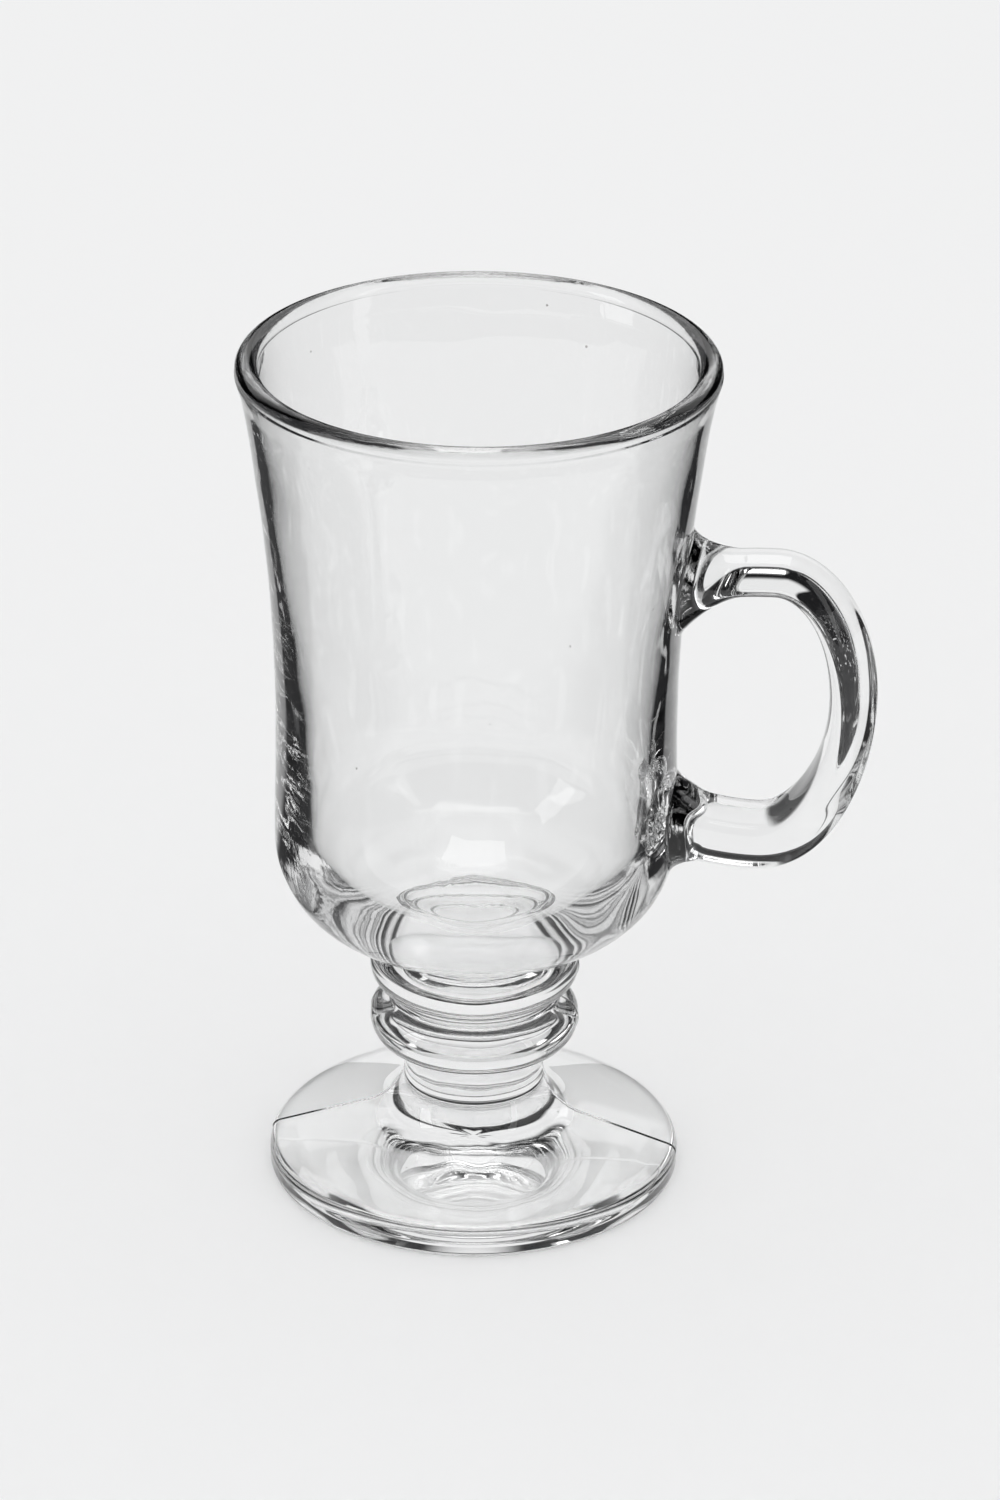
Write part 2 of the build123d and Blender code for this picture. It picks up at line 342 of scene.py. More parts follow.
def outward(points):
    """Unit directions out of the glass along an outline that keeps the glass on its left."""
    along = np.gradient(points, axis=0)
    across = np.column_stack([along[:, 1], -along[:, 0]])
    return across / np.linalg.norm(across, axis=1)[:, None]


def stations(mug):
    """Heights of the welds, centres of the rings and circles of the bowl, worked up from the foot."""
    foot, stem, bowl = mug.foot, mug.stem, mug.bowl
    s = SimpleNamespace()
    neck_centre = foot.neck_radius + foot.sweep_round
    rise = (foot.radius - neck_centre) * tan(foot.slope)
    s.neck_weld = foot.edge_height + rise + foot.sweep_round / cos(foot.slope)
    s.sweep = (neck_centre, s.neck_weld)
    s.cove = (foot.neck_radius + stem.cove_round, s.neck_weld + stem.neck_length)
    knop_centre = stem.knop_radius - stem.knop_round
    groove_centre = stem.groove_radius + stem.groove_round
    collar_centre = stem.collar_radius - stem.collar_round
    cove_rise = sqrt((stem.knop_round + stem.cove_round) ** 2 - (s.cove[0] - knop_centre) ** 2)
    s.knop = (knop_centre, s.cove[1] + cove_rise)
    knop_rise = sqrt((stem.knop_round + stem.groove_round) ** 2 - (groove_centre - knop_centre) ** 2)
    collar_rise = sqrt((stem.collar_round + stem.groove_round) ** 2 - (groove_centre - collar_centre) ** 2)
    s.groove = (groove_centre, s.knop[1] + knop_rise)
    s.collar = (collar_centre, s.groove[1] + collar_rise)
    s.bowl_weld = s.collar[1] + collar_rise
    s.upper_groove = (groove_centre, s.bowl_weld)

    rim = s.bowl_weld + bowl.height
    s.lip = (bowl.mouth_radius - bowl.lip_round, rim - bowl.lip_round)
    s.waist = s.bowl_weld + bowl.waist_height
    offset = bowl.waist_radius - s.lip[0]
    rise = s.lip[1] - s.waist
    s.flare_round = (offset**2 + rise**2 - bowl.lip_round**2) / (2 * (bowl.lip_round - offset))
    s.flare = (bowl.waist_radius + s.flare_round, s.waist)
    s.lip_bearing = bearing(s.flare, s.lip)
    s.floor = s.bowl_weld + bowl.floor_height
    s.inside = (bowl.belly_radius - bowl.floor_wall, s.floor + bowl.floor_rise)
    to_lip = hypot(s.lip[0] - s.inside[0], s.lip[1] - s.inside[1])
    inner = bowl.inside_bend - bowl.lip_round
    corner = acos((to_lip**2 + bowl.inside_bend**2 - inner**2) / (2 * to_lip * bowl.inside_bend))
    s.draft = degrees(corner) - bearing(s.inside, s.lip)
    s.lean = on_circle(s.inside, bowl.inside_bend, -s.draft)
    underside = on_circle(s.upper_groove, stem.groove_round, 90 + degrees(bowl.underside_slope))
    reach = bowl.belly_radius - bowl.shoulder_round
    climb = (reach - underside[0]) * tan(bowl.underside_slope)
    s.shoulder = (reach, underside[1] + climb + bowl.shoulder_round / cos(bowl.underside_slope))
    return s


# Unevenness of the pressed faces

def waves(angle, height, radius, size, face):
    """Slow unevenness of about -1 to 1 over a turned face, with whole waves round the axis."""
    pick = np.random.default_rng(WAVE_SEEDS[face])
    total = 0.0
    for _ in range(WAVE_COUNT):
        lean = pick.uniform(0, pi)
        spread = size * pick.uniform(0.7, 1.5)
        around = round(2 * pi * radius / spread * cos(lean))
        along = 2 * pi / spread * sin(lean)
        total = total + np.sin(around * angle + along * height + pick.uniform(0, 2 * pi))
    return total / sqrt(WAVE_COUNT)


def ease(value, start, end):
    """A smooth step from 0 at start to 1 at end."""
    share = np.clip((value - start) / (end - start), 0, 1)
    return share * share * (3 - 2 * share)


def between(value, rise, fall):
    """A smooth share that comes over one range of a value and goes over another."""
    return ease(value, *rise) * (1 - ease(value, *fall))


def seam_line(foot, angle, radius):
    """Height of the mould seams, which run in the plane of the handle."""
    aside = radius * np.sin(angle)
    return foot.seam_height * np.exp(-((aside / foot.seam_width) ** 2))


def column_angles(with_seams):
    """Angles of the columns of faces, closer together beside the mould seams."""
    angles = np.arange(COLUMNS) * 2 * pi / COLUMNS
    if not with_seams:
        return angles
    beside = np.array(SEAM_COLUMNS)
    extra = [side * beside + seam for seam in (0, pi) for side in (-1, 1)]
    return np.unique(np.round(np.concatenate([angles, *extra]) % (2 * pi), 9))


def put(name, data):
    """A new object of a mesh or camera, in the scene."""
    made = bpy.data.objects.new(name, data)
    bpy.context.scene.collection.objects.link(made)
    return made


class Cast:
    """Points and faces of one piece of glass, gathered before they become a mesh."""

    def __init__(self):
        self.points = []
        self.count = 0
        self.faces = []
        self.welded = []

    def add(self, points):
        """Takes points in and gives back their numbers in the same arrangement."""
        points = np.asarray(points, float)
        flat = points.reshape(-1, 3)
        numbers = np.arange(self.count, self.count + len(flat)).reshape(points.shape[:-1])
        self.points.append(flat)
        self.count += len(flat)
        return numbers

    def quads(self, grid, welded=False, leave=None):
        """Faces between the rows of a grid of point numbers that closes on itself sideways."""
        after = np.roll(grid, -1, axis=1)
        faces = np.stack([grid[:-1], after[:-1], after[1:], grid[1:]], axis=-1)
        kept = np.ones(faces.shape[:2], bool) if leave is None else ~leave
        chosen = faces[kept].tolist()
        self.faces += chosen
        self.welded += [welded] * len(chosen)

    def fan(self, ring, centre, welded=False):
        """Faces from a closed ring of point numbers to one point."""
        middle = int(self.add([centre])[0])
        ring = [int(n) for n in ring]
        self.faces += [[a, b, middle] for a, b in zip(ring, ring[1:] + ring[:1])]
        self.welded += [welded] * len(ring)

    def make(self, name, glass):
        """The finished piece: a closed mesh, smooth but for the borders of its welds."""
        mesh = bpy.data.meshes.new(name)
        mesh.from_pydata(np.concatenate(self.points).tolist(), [], self.faces)
        mesh.materials.append(glass)
        mesh.materials.append(weld_glass())
        mesh.polygons.foreach_set("material_index", [int(w) for w in self.welded])
        shape = bmesh.new()
        shape.from_mesh(mesh)
        loose = [v for v in shape.verts if not v.link_faces]
        bmesh.ops.delete(shape, geom=loose, context="VERTS")
        bmesh.ops.recalc_face_normals(shape, faces=shape.faces[:])
        for face in shape.faces:
            face.smooth = True
        for edge in shape.edges:
            if len(edge.link_faces) != 2:
                raise RuntimeError(f"{name} isn't closed")
            edge.smooth = edge.link_faces[0].material_index == edge.link_faces[1].material_index
        shape.to_mesh(mesh)
        shape.free()
        return put(name, mesh)


def turned(points, angles, lift):
    """Points of an outline turned about the axis, each lifted out of the glass by its own amount."""
    out = outward(points)
    angle = angles[None, :]
    radius = points[:, :1] + out[:, :1] * lift
    height = points[:, 1:] + out[:, 1:] * lift
    return np.stack([radius * np.cos(angle), radius * np.sin(angle), height], axis=-1)


def settle(piece, node):
    """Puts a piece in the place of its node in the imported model."""
    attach(piece, BODY)
    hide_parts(node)


# Wall of the bowl, which the handle's roots share

def wall_radius(mug, s, height):
    """Radius of the bowl's outer face at heights from the shoulder up to the lip."""
    bowl = mug.bowl
    below = np.clip(s.shoulder[1] - height, 0, bowl.shoulder_round)
    above = np.clip(height - s.waist, 0, None)
    shoulder = s.shoulder[0] + np.sqrt(bowl.shoulder_round**2 - below**2)
    narrowing = ease(height, s.shoulder[1], s.waist)
    barrel = bowl.belly_radius + (bowl.waist_radius - bowl.belly_radius) * narrowing
    flare = s.flare[0] - np.sqrt(s.flare_round**2 - above**2)
    return np.where(height < s.shoulder[1], shoulder, np.where(height < s.waist, barrel, flare))


def under_bead(mug, s, height, bead, soft):
    """How far the wall is set back under the slightly thicker rim."""
    below = s.lip[1] + mug.bowl.lip_round - height - bead
    return mug.bowl.bead_depth * between(below, (-soft, soft), BEAD_FADE)


def wall_lift(mug, s, angle, height):
    """Unevenness of the bowl's outer face, stronger where the first hot glass met the mould."""
    bowl, glass = mug.bowl, mug.glass
    slow = glass.wave_depth * waves(angle, height, bowl.waist_radius, glass.wave_size, "wall")
    quick = waves(angle, height, bowl.waist_radius, QUICK_SIZE, "quick")
    low_band = between(height - s.bowl_weld, QUICK_RISE, QUICK_FALL)
    edges = between(height, (s.bowl_weld, s.bowl_weld + WALL_RISE), (s.lip[1] - WALL_FADE, s.lip[1]))
    set_back = under_bead(mug, s, height, bowl.bead_outside, BEAD_SOFT_OUTSIDE)
    return edges * (slow + QUICK_SHARE * glass.wave_depth * low_band * quick) - set_back


def wall_points(mug, s, angle, height):
    """Points of the bowl's outer face at angles and heights."""
    nudge = 1e-6
    radius = wall_radius(mug, s, height)
    lean = (wall_radius(mug, s, height + nudge) - wall_radius(mug, s, height - nudge)) / (2 * nudge)
    lift = wall_lift(mug, s, angle, height) / np.sqrt(1 + lean**2)
    radius = radius + lift
    return np.stack([radius * np.cos(angle), radius * np.sin(angle), height - lean * lift], axis=-1)


def wall_rows(s):
    """Heights of the rows of faces up the wall, closer together under the lip."""
    low = s.shoulder[1] - WALL_START
    top = on_circle(s.flare, s.flare_round, s.lip_bearing)[1]
    rows = np.linspace(low, top, round((top - low) / WALL_STEP) + 1)
    return np.concatenate([rows[:-BEAD_ROWS], np.linspace(rows[-BEAD_ROWS], top, BEAD_POINTS)])


# Arms of the handle and their roots

ARM_SIZES = ("reach", "height", "thickness", "width", "root", "above", "below", "swell", "fullness")


def arms(mug, s):
    """Sizes of the upper and the lower arm, and where and how far their roots spread on the wall."""
    handle = mug.handle
    sized = []
    for end, rise in (("upper", -handle.upper_drop), ("lower", handle.lower_rise)):
        arm = SimpleNamespace(**{name: getattr(handle, f"{end}_{name}") for name in ARM_SIZES})
        arm.bend = s.bowl_weld + arm.height
        arm.start = arm.bend + rise
        arm.middle = arm.start + (arm.above - arm.below) / 2
        arm.tall = (arm.thickness + arm.above + arm.below) / 2
        arm.wide = arm.width / 2 + handle.root_sideways
        sized.append(arm)
    return sized


def ring_turns():
    """Angles of the points round a section of the handle, from the corner of its square of wall."""
    return np.radians(-135 + 360 * np.arange(4 * PATCH) / (4 * PATCH))


def root_ring(mug, s, arm, flip=1):
    """Angles and heights on the wall of the ring where a handle root ends."""
    turns = ring_turns()
    height = arm.middle + flip * arm.tall * np.sin(turns)
    return np.arcsin(arm.wide * np.cos(turns) / wall_radius(mug, s, height)), height


def close_root(cast, mug, s, arm, ring, angle, height):
    """The weld under a handle root, which lies on the wall."""
    rows = [ring]
    for share in WELD_RINGS:
        inner = wall_points(mug, s, angle * (1 - share), height + (arm.middle - height) * share)
        rows.append(cast.add(inner))
    cast.quads(np.stack(rows), welded=True)
    centre = wall_points(mug, s, np.zeros(1), np.array([arm.middle]))[0]
    cast.fan(rows[-1], centre, welded=True)


class MUG_OT_foot(bpy.types.Operator):
    """Builds the foot: disc, rounded edge, sloping top with its mould seam, and neck sweep"""

    bl_idname = "mug.foot"
    bl_label = "Foot"

    def execute(self, context):
        mug = settings()
        s = stations(mug)
        foot, glass = mug.foot, mug.glass
        slope = degrees(foot.slope)
        ring_inside = foot.radius - foot.base_round - foot.ring_width
        dome = (ring_inside**2 + foot.hollow_depth**2) / (2 * foot.hollow_depth)
        dome_centre = (0, foot.hollow_depth - dome)
        start = 90 - degrees(asin(STEP / dome))
        hollow = arc(dome_centre, dome, start, 90 - degrees(asin(ring_inside / dome)))
        base = arc((foot.radius - foot.base_round, foot.base_round), foot.base_round, -90, 0)
        edge_height = foot.edge_height + foot.shoulder_round * (tan(foot.slope) - 1 / cos(foot.slope))
        edge = arc((foot.radius - foot.shoulder_round, edge_height), foot.shoulder_round, 0, 90 - slope)
        sweep = arc(s.sweep, foot.sweep_round, 270 - slope, 180)
        points = outline(hollow, base, edge, sweep)
        angles = column_angles(True)
        angle, radius, height = angles[None, :], points[:, :1], points[:, 1:]
        slow = waves(angle, radius + height, foot.radius * FOOT_WAVES, glass.wave_size, "foot")
        free = between(height, (0.0, FOOT_RISE), (s.neck_weld - FOOT_FADE, s.neck_weld))
        shown = ease(height, edge_height, edge_height + SEAM_RISE)
        shown = shown * (1 - SEAM_LOSS * ease(height, s.neck_weld - SEAM_FADE, s.neck_weld))
        lift = free * glass.wave_depth * slow + shown * seam_line(foot, angle, radius)
        cast = Cast()
        rows = cast.add(turned(points, angles, lift))
        cast.quads(rows)
        cast.fan(rows[0], (0, 0, foot.hollow_depth))
        cast.fan(rows[-1], (0, 0, s.neck_weld), welded=True)
        settle(cast.make("mug_foot", clear_glass("foot")), "foot")
        return {"FINISHED"}


class MUG_OT_rings(bpy.types.Operator):
    """Builds the two rings of the stem: the knop over the neck and the collar under the bowl"""

    bl_idname = "mug.rings"
    bl_label = "Rings of the stem"

    def execute(self, context):
        mug = settings()
        s = stations(mug)
        foot, stem = mug.foot, mug.stem
        from_cove = bearing(s.cove, s.knop)
        to_groove = bearing(s.groove, s.knop)
        knop = outline(
            straight((foot.neck_radius, s.neck_weld), (foot.neck_radius, s.cove[1])),
            arc(s.cove, stem.cove_round, 180, from_cove),
            arc(s.knop, stem.knop_round, from_cove - 180, to_groove + 180),
            arc(s.groove, stem.groove_round, to_groove + 360, 180),
        )
        from_groove = bearing(s.groove, s.collar)
        to_upper = bearing(s.upper_groove, s.collar)
        collar = outline(
            arc(s.groove, stem.groove_round, 180, from_groove),
            arc(s.collar, stem.collar_round, from_groove - 180, to_upper + 180),
            arc(s.upper_groove, stem.groove_round, to_upper + 360, 180),
        )
        self.build(mug, "knop", knop)
        self.build(mug, "collar", collar)
        return {"FINISHED"}

    def build(self, mug, node, points):
        """Turns one ring and closes it with a weld above and below."""
        angles = column_angles(True)
        angle, radius, height = angles[None, :], points[:, :1], points[:, 1:]
        low, high = points[0, 1], points[-1, 1]
        free = between(height, (low, low + RING_FADE), (high - RING_FADE, high))
        slow = mug.glass.wave_depth * waves(angle, height, radius.max(), RING_WAVES, node)
        shown = RING_SEAM[0] + RING_SEAM[1] * free
        lift = free * slow + shown * seam_line(mug.foot, angle, radius)
        cast = Cast()
        rows = cast.add(turned(points, angles, lift))
        cast.quads(rows)
        cast.fan(rows[0], (0, 0, low), welded=True)
        cast.fan(rows[-1], (0, 0, high), welded=True)
        settle(cast.make(f"mug_{node}", clear_glass("stem")), node)


class MUG_OT_bowl(bpy.types.Operator):
    """Builds the bowl: underside, shoulder, flared wall, fire-polished lip and rounded floor"""

    bl_idname = "mug.bowl"
    bl_label = "Bowl"

    def execute(self, context):
        mug = settings()
        s = stations(mug)
        stem, bowl, glass = mug.stem, mug.bowl, mug.glass
        angles = column_angles(False)
        heights = wall_rows(s)
        underside_slope = degrees(bowl.underside_slope)
        shoulder_end = degrees(asin((heights[0] - s.shoulder[1]) / bowl.shoulder_round))
        under = outline(
            arc(s.upper_groove, stem.groove_round, 180, 90 + underside_slope),
            arc(s.shoulder, bowl.shoulder_round, underside_slope - 90, shoulder_end),
        )[:-1]
        inner_bearing = bearing(s.lean, s.lip)
        lip = arc(s.lip, bowl.lip_round, s.lip_bearing - 180, inner_bearing)
        lean = arc(s.lean, bowl.inside_bend, inner_bearing, 180 - s.draft)
        bead = np.linspace(lean[0], lean[BEAD_ROWS], BEAD_POINTS)
        floor = round_floor(s.inside, s.draft, s.floor)[:-1]
        inside = outline(lip, np.concatenate([bead, lean[BEAD_ROWS + 1 :]]), floor)[1:]
        radius, height = inside[:, :1], inside[:, 1:]
        slow = waves(angles[None, :], height + radius, bowl.waist_radius, glass.wave_size, "inside")
        free = 1 - ease(height, s.lip[1] - INSIDE_FADE[0], s.lip[1] - INSIDE_FADE[1])
        set_back = under_bead(mug, s, height, bowl.bead_inside, BEAD_SOFT_INSIDE)
        lift = free * glass.wave_depth * slow - set_back

        cast = Cast()
        wall = cast.add(wall_points(mug, s, *np.meshgrid(angles, heights)))
        below = cast.add(turned(under, angles, np.zeros(COLUMNS)))
        above = cast.add(turned(inside, angles, lift))
        cast.quads(np.concatenate([below, wall[:1]]))
        cast.quads(np.concatenate([wall[-1:], above]))
        cast.fan(below[0], (0, 0, s.bowl_weld), welded=True)
        cast.fan(above[-1], (0, 0, s.floor))
        left_out = np.zeros((len(heights) - 1, COLUMNS), bool)
        half = PATCH // 2
        for arm in arms(mug, s):
            first = int(np.argmin(abs(heights - arm.middle + half * (heights[1] - heights[0]))))
            left_out[first : first + PATCH, :half] = True
            left_out[first : first + PATCH, -half:] = True
            self.fit_root(cast, mug, s, arm, wall, heights, first)
        cast.quads(wall, leave=left_out)
        settle(cast.make("mug_bowl", clear_glass("bowl", BOWL_INSIDE)), "bowl")
        return {"FINISHED"}

    def fit_root(self, cast, mug, s, arm, wall, heights, first):
        """Fills the square that is left out of the wall with rings that close on a handle root."""
        half = PATCH // 2
        last = first + PATCH
        border = [(first, c) for c in range(-half, half)]
        border += [(r, half) for r in range(first, last)]
        border += [(last, c) for c in range(half, -half, -1)]
        border += [(r, -half) for r in range(last, first, -1)]
        border_angle = np.array([c for _, c in border]) * 2 * pi / COLUMNS
        border_height = np.array([heights[r] for r, _ in border])
        ring_angle, ring_height = root_ring(mug, s, arm)
        rings = [np.array([wall[r, c] for r, c in border])]
        for share in np.arange(1, PATCH_RINGS + 1) / PATCH_RINGS:
            angle = border_angle + (ring_angle - border_angle) * share
            height = border_height + (ring_height - border_height) * share
            rings.append(cast.add(wall_points(mug, s, angle, height)))
        cast.quads(np.stack(rings))
        close_root(cast, mug, s, arm, rings[-1], ring_angle, ring_height)


class MUG_OT_handle(bpy.types.Operator):
    """Builds the handle: one loop of oval section whose two roots spread onto the wall"""

    bl_idname = "mug.handle"
    bl_label = "Handle"

    def execute(self, context):
        mug = settings()
        s = stations(mug)
        upper, lower = arms(mug, s)
        middle = s.bowl_weld + mug.handle.grip_height
        sections = self.arm(mug, s, upper, 0)
        sections += self.bend(mug.handle, upper, middle, 90, 0)[1:]
        sections += self.bend(mug.handle, lower, middle, 0, -90)[1:-1]
        sections += self.arm(mug, s, lower, pi)[::-1]

        cast = Cast()
        upper_ring = root_ring(mug, s, upper)
        lower_ring = root_ring(mug, s, lower, flip=-1)
        first = cast.add(wall_points(mug, s, *upper_ring))
        last = cast.add(wall_points(mug, s, *lower_ring))
        loop = cast.add(np.stack(sections))
        cast.quads(np.concatenate([first[None], loop, last[None]]))
        close_root(cast, mug, s, upper, first, *upper_ring)
        close_root(cast, mug, s, lower, last, *lower_ring)
        settle(cast.make("mug_handle", clear_glass("handle")), "handle")
        return {"FINISHED"}

    def oval(self, x, z, heading, size):
        """Points round one section of the handle, square to its run."""
        thickness, width, swell, fullness = size
        turns = ring_turns()
        up, side = np.sin(turns), np.cos(turns)
        grow = (abs(up) ** fullness + abs(side) ** fullness) ** (-1 / fullness)
        across = thickness / 2 * up * grow
        deep = width / 2 * side * grow * (1 + swell * up * grow)
        return np.stack([x - sin(heading) * across, deep, z + cos(heading) * across], axis=-1)

    def arm(self, mug, s, arm, facing):
        """Sections of one arm from the wall to its bend, the first ones spread onto the wall."""
        wall = float(wall_radius(mug, s, np.array([arm.start]))[0])
        near = (np.arange(1, ROOT_RINGS + 1) / ROOT_RINGS) ** ROOT_CROWDING
        reach = (arm.reach - wall) / arm.root
        far = np.linspace(1, reach, ceil((reach - 1) * arm.root / STEP) + 1)[1:]
        sections = []
        for share in np.concatenate([near, far]):
            x = wall + share * arm.root
            clear = min(share, 1.0)
            left = (arm.reach - x) / (arm.reach - wall)
            spread = (1 - clear**ROOT_CURVE) ** (1 / ROOT_CURVE)
            z = arm.bend + (arm.start - arm.bend) * left**2 + (arm.above - arm.below) * spread / 2
            run = 2 * (arm.bend - arm.start) * left / (arm.reach - wall)
            heading = clear * atan2(run, 1) + facing
            tall = arm.thickness + (arm.above + arm.below) * spread
            wide = arm.width + 2 * mug.handle.root_sideways * spread
            fullness = 2 + (arm.fullness - 2) * clear
            ring = self.oval(x, z, heading, (tall, wide, arm.swell * clear, fullness))
            on_wall = np.sqrt(wall_radius(mug, s, ring[:, 2]) ** 2 - ring[:, 1] ** 2)
            ring[:, 0] += (1 - clear) ** 2 * (on_wall - wall)
            sections.append(ring)
        return sections

    def bend(self, handle, arm, middle, start, end):
        """Sections round a quarter of an ellipse, from the arm's size to the grip's or back."""
        across = handle.grip_reach - arm.reach
        up = abs(arm.bend - middle)
        arm_size = (arm.thickness, arm.width, arm.swell, arm.fullness)
        grip_size = (handle.grip_thickness, handle.grip_width, handle.grip_swell, handle.grip_fullness)
        count = ceil((across + up) * QUARTER / STEP)
        sections = []
        for angle in np.radians(np.linspace(start, end, count + 1)):
            heading = atan2(-up * cos(angle), across * sin(angle))
            mix = sin(angle) ** 2
            size = [at_grip + (at_arm - at_grip) * mix for at_grip, at_arm in zip(grip_size, arm_size)]
            x, z = arm.reach + across * cos(angle), middle + up * sin(angle)
            sections.append(self.oval(x, z, heading, size))
        return sections


# Materials

def bare_tree(owner):
    """The node tree of a new material or world, emptied."""
    owner.use_nodes = True
    owner.node_tree.nodes.clear()
    return owner.node_tree


def place(tree, kind, inputs=None, **options):
    """Adds a shader node, sets its options and fills its inputs with values or links."""
    made = tree.nodes.new(f"ShaderNode{kind}")
    for name, value in options.items():
        setattr(made, name, value)
    for key, value in (inputs or {}).items():
        if isinstance(value, bpy.types.NodeSocket):
            tree.links.new(value, made.inputs[key])
        else:
            made.inputs[key].default_value = value
    return made


def sums(tree, operation, first, second=0.0):
    """The output of a math node."""
    return place(tree, "Math", {0: first, 1: second}, operation=operation).outputs[0]


def product(tree, first, *others):
    """The output of math nodes that multiply values."""
    for other in others:
        first = sums(tree, "MULTIPLY", first, other)
    return first


def step_between(tree, value, start, end, low=0.0, high=1.0):
    """The output of a smooth step of a value."""
    inputs = {"Value": value, "From Min": start, "From Max": end, "To Min": low, "To Max": high}
    return place(tree, "MapRange", inputs, interpolation_type="SMOOTHSTEP").outputs["Result"]


def noise(tree, scale, detail, inputs, **options):
    """The output of a noise texture."""
    return place(tree, "TexNoise", {"Scale": scale, "Detail": detail, **inputs}, **options).outputs["Fac"]


def scaled(tree, vector, factors):
    """A vector with each of its parts multiplied."""
    return place(tree, "VectorMath", {0: vector, 1: factors}, operation="MULTIPLY").outputs[0]


def size_of(tree, vector):
    """The length of a vector."""
    return place(tree, "VectorMath", {0: vector}, operation="LENGTH").outputs["Value"]


def new_group(name, takes, gives):
    """An empty shader group with named number inputs and one output, and its two end nodes."""
    group = bpy.data.node_groups.new(name, "ShaderNodeTree")
    for label, default in takes:
        socket = group.interface.new_socket(label, in_out="INPUT", socket_type="NodeSocketFloat")
        socket.default_value = default
    group.interface.new_socket(gives, in_out="OUTPUT", socket_type="NodeSocketFloat")
    return group, group.nodes.new("NodeGroupInput").outputs, group.nodes.new("NodeGroupOutput").inputs


def chill_marks():
    """Group of the fine wrinkles of pressed glass, as a height that fills and fades in patches."""
    known = bpy.data.node_groups.get("chill_marks")
    if known:
        return known
    takes = (("Strength", 1.0), ("Low", 0.066), ("High", 0.146), ("Inside", 0.0))
    tree, given, result = new_group("chill_marks", takes, "Height")
    spot = place(tree, "TexCoord").outputs["Object"]
    z = place(tree, "SeparateXYZ", {0: spot}).outputs["Z"]
    radius = size_of(tree, scaled(tree, spot, (1, 1, 0)))
    below = sums(tree, "MAXIMUM", sums(tree, "SUBTRACT", DRAWN_IN, z), 0.0)
    shrunk = sums(tree, "SUBTRACT", given["Inside"], below)
    outer = step_between(tree, sums(tree, "SUBTRACT", radius, shrunk), *OUTSIDE_SOFT)
    drawn = scaled(tree, spot, (1, 1, 0.4))
    wrinkle = noise(tree, 260.0, 2.0, {"Vector": drawn, "Distortion": 1.2})
    patch = step_between(tree, noise(tree, 60.0, 1.0, {"Vector": spot}), *CHILL_PATCHES)
    from_low = sums(tree, "ABSOLUTE", sums(tree, "SUBTRACT", z, given["Low"]))
    from_high = sums(tree, "ABSOLUTE", sums(tree, "SUBTRACT", z, given["High"]))
    low_band = step_between(tree, from_low, *LOW_BAND)
    high_band = step_between(tree, from_high, *HIGH_BAND)
    bands = sums(tree, "ADD", sums(tree, "MAXIMUM", low_band, high_band), PLAIN_SHARE)
    share = product(tree, bands, product(tree, patch, outer), given["Strength"])
    tree.links.new(product(tree, wrinkle, share), result["Height"])
    return tree


def handling_marks():
    """Group of the faint smears and hair scratches of a used glass, as a roughness."""
    known = bpy.data.node_groups.get("handling_marks")
    if known:
        return known
    takes = (("Polish", 0.004), ("Smudge", 0.03))
    tree, given, result = new_group("handling_marks", takes, "Roughness")
    spot = place(tree, "TexCoord").outputs["Object"]
    smear = step_between(tree, noise(tree, 45.0, 3.0, {"Vector": spot}), *SMEARS)
    lie = {"Vector": spot, "Rotation": (0.4, 0.9, 0.3), "Scale": (30.0, 900.0, 900.0)}
    stretch = place(tree, "Mapping", lie).outputs[0]
    hair = step_between(tree, noise(tree, 1.0, 0.0, {"Vector": stretch}), *HAIRS)
    marks = product(tree, sums(tree, "MAXIMUM", smear, hair), given["Smudge"])
    tree.links.new(sums(tree, "ADD", given["Polish"], marks), result["Roughness"])
    return tree


def dust_specks():
    """Group of the tiny seeds and dust of the surface, as a mask."""
    known = bpy.data.node_groups.get("dust_specks")
    if known:
        return known
    takes = (("Spacing", 130.0), ("Size", 0.034))
    tree, given, result = new_group("dust_specks", takes, "Mask")
    spot = place(tree, "TexCoord").outputs["Object"]
    cells = place(tree, "TexVoronoi", {"Vector": spot, "Scale": given["Spacing"]}).outputs
    chance = place(tree, "SeparateColor", {0: cells["Color"]}).outputs["Red"]
    few = sums(tree, "GREATER_THAN", chance, SPECK_CHANCE)
    near = sums(tree, "LESS_THAN", cells["Distance"], product(tree, given["Size"], chance))
    tree.links.new(product(tree, few, near), result["Mask"])
    return tree


def weld_glass():
    """The inside of a weld, where the glass runs on from one piece to the next and nothing is seen."""
    known = bpy.data.materials.get("weld_inside")
    if known:
        return known
    made = bpy.data.materials.new("weld_inside")
    tree = bare_tree(made)
    clear = place(tree, "BsdfTransparent", {"Color": (1, 1, 1, 1)})
    place(tree, "OutputMaterial", {"Surface": clear.outputs[0]})
    return made


